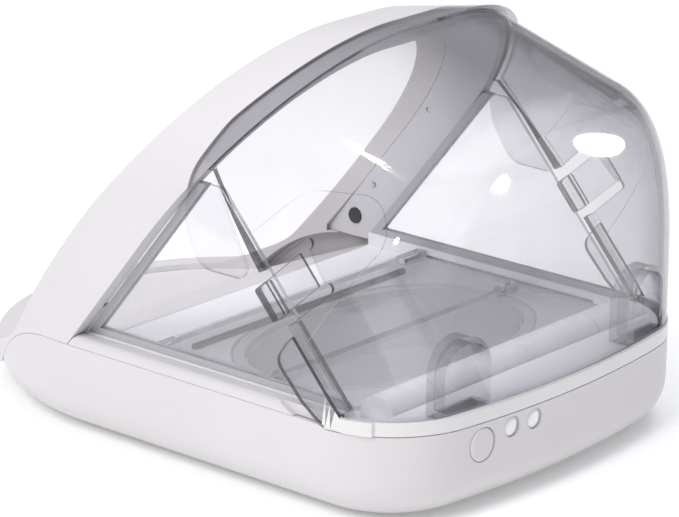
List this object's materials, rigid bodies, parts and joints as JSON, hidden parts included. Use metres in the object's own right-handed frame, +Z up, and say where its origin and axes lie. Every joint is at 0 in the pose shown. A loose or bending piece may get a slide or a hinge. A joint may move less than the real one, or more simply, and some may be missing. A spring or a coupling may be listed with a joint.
{
  "type": "automatic pet feeder",
  "caption": "Battery pet feeder: low white base, leaning hoop entry, removable bowl under a motorised folding clear lid, and a smoky clear hood clipped over the rear.",
  "frame": {"origin": "on the table under the middle of the feeder's outer length and width", "axes": "+Z up; -Y the hoop side that the pet comes to; +Y the rear face with the button; +X the side nearer the button"},
  "size_m": [0.23, 0.327, 0.2081],
  "materials": {
    "white": "white satin moulded plastic",
    "grey": "pale grey satin moulded plastic",
    "smoke_clear": "smoky clear moulded plastic, polished",
    "clear": "clear moulded plastic, polished",
    "bowl_grey": "grey satin plastic",
    "underside": "white fine-textured plastic",
    "soft_grey": "soft grey rubber",
    "steel": "plain steel",
    "nylon": "natural white nylon",
    "board_green": "green solder mask",
    "black": "black plastic",
    "lamp": "white lamp body",
    "copper_winding": "enamelled copper wire on a plastic former",
    "cell": "cell with a plain printed sleeve"
  },
  "bodies": {
    "base": {"base_tub": "white", "right_side_trim": "white", "left_side_trim": "white", "hoop_shell": "white", "deck": "grey", "bowl_well": "grey", "chin_tray": "grey", "hoop_liner": "grey", "right_window_frame": "grey", "left_window_frame": "grey", "right_barrel_end": "grey", "left_barrel_end": "grey", "right_window": "clear", "left_window": "clear", "indicator_lenses": "clear", "base_plate": "underside", "right_battery_box": "underside", "left_battery_box": "underside", "rubber_feet": "soft_grey", "bowl_mat": "soft_grey", "base_screws": "steel", "liner_screws": "steel", "gearbox_screws": "steel", "gear_axles": "steel", "motor": "steel", "battery_contacts": "steel", "shaft_bushes": "nylon", "gearbox_frame": "nylon", "circuit_board": "board_green", "sensor_windows": "black", "button_switch": "black", "indicator_leds": "lamp", "reader_coil": "copper_winding", "batteries": "cell"},
    "lid_rear": {"lid_rear_panel": "clear", "hinge_barrel": "grey", "lid_shaft": "steel", "shaft_gear": "nylon", "lid_hinge_pins": "steel"},
    "lid_front": {"lid_front_panel": "clear", "lid_guide_pins": "steel", "lid_seal": "soft_grey"},
    "idler": {"idler_gear": "nylon"},
    "compound": {"compound_gear": "nylon"},
    "pinion": {"motor_pinion": "nylon", "motor_shaft": "steel"},
    "hood": {"rear_hood": "smoke_clear"},
    "right_tab": {"right_release_tab": "smoke_clear"},
    "left_tab": {"left_release_tab": "smoke_clear"},
    "button": {"open_close_button": "white"},
    "right_door": {"right_battery_door": "underside"},
    "left_door": {"left_battery_door": "underside"},
    "bowl": {"bowl": "bowl_grey"}
  },
  "joints": [
    {"name": "lid_rear_hinge", "type": "hinge", "parent": "base", "child": "lid_rear", "pos_m": [0, 0.124, 0.047], "axis": [-1, 0, 0], "range_deg": [0, 78]},
    {"name": "lid_mid_hinge", "type": "hinge", "parent": "lid_rear", "child": "lid_front", "pos_m": [0, 0.0575, 0.047], "axis": [-1, 0, 0], "range_deg": [-156, 0]},
    {"name": "idler_spin", "type": "hinge", "parent": "base", "child": "idler", "pos_m": [0, 0.133, 0.03004], "axis": [-1, 0, 0], "range_deg": [-46.8, 0]},
    {"name": "compound_spin", "type": "hinge", "parent": "base", "child": "compound", "pos_m": [0, 0.124, 0.0173], "axis": [-1, 0, 0], "range_deg": [0, 156]},
    {"name": "pinion_spin", "type": "hinge", "parent": "base", "child": "pinion", "pos_m": [0, 0.1378, 0.0173], "axis": [-1, 0, 0], "range_deg": [-561.6, 0]},
    {"name": "hood_lift_off", "type": "slide", "parent": "base", "child": "hood", "axis": [0, 0.96, 0.28], "range_m": [0, 0.15]},
    {"name": "right_release", "type": "hinge", "parent": "hood", "child": "right_tab", "pos_m": [0.1113, 0.10007, 0.11572], "axis": [0, 0.6635, -0.7482], "range_deg": [0, 4.5], "stiffness_Nm_per_rad": 2},
    {"name": "left_release", "type": "hinge", "parent": "hood", "child": "left_tab", "pos_m": [-0.1113, 0.10007, 0.11572], "axis": [0, -0.6635, 0.7482], "range_deg": [0, 4.5], "stiffness_Nm_per_rad": 2},
    {"name": "button_press", "type": "slide", "parent": "base", "child": "button", "axis": [0, -1, 0], "range_m": [0, 0.0012], "stiffness_N_per_m": 600},
    {"name": "right_door_hinge", "type": "hinge", "parent": "base", "child": "right_door", "pos_m": [0.0565, -0.0039, 0.0025], "axis": [1, 0, 0], "range_deg": [0, 80]},
    {"name": "left_door_hinge", "type": "hinge", "parent": "base", "child": "left_door", "pos_m": [-0.0565, -0.0039, 0.0025], "axis": [1, 0, 0], "range_deg": [0, 80]},
    {"name": "bowl_lift", "type": "slide", "parent": "base", "child": "bowl", "axis": [0, 0, 1], "range_m": [0, 0.0004]}
  ],
  "couplings": [
    {"joint": "lid_mid_hinge", "follows": "lid_rear_hinge", "ratio": -2},
    {"joint": "idler_spin", "follows": "lid_rear_hinge", "ratio": -0.6},
    {"joint": "compound_spin", "follows": "lid_rear_hinge", "ratio": 2},
    {"joint": "pinion_spin", "follows": "lid_rear_hinge", "ratio": -7.2}
  ]
}
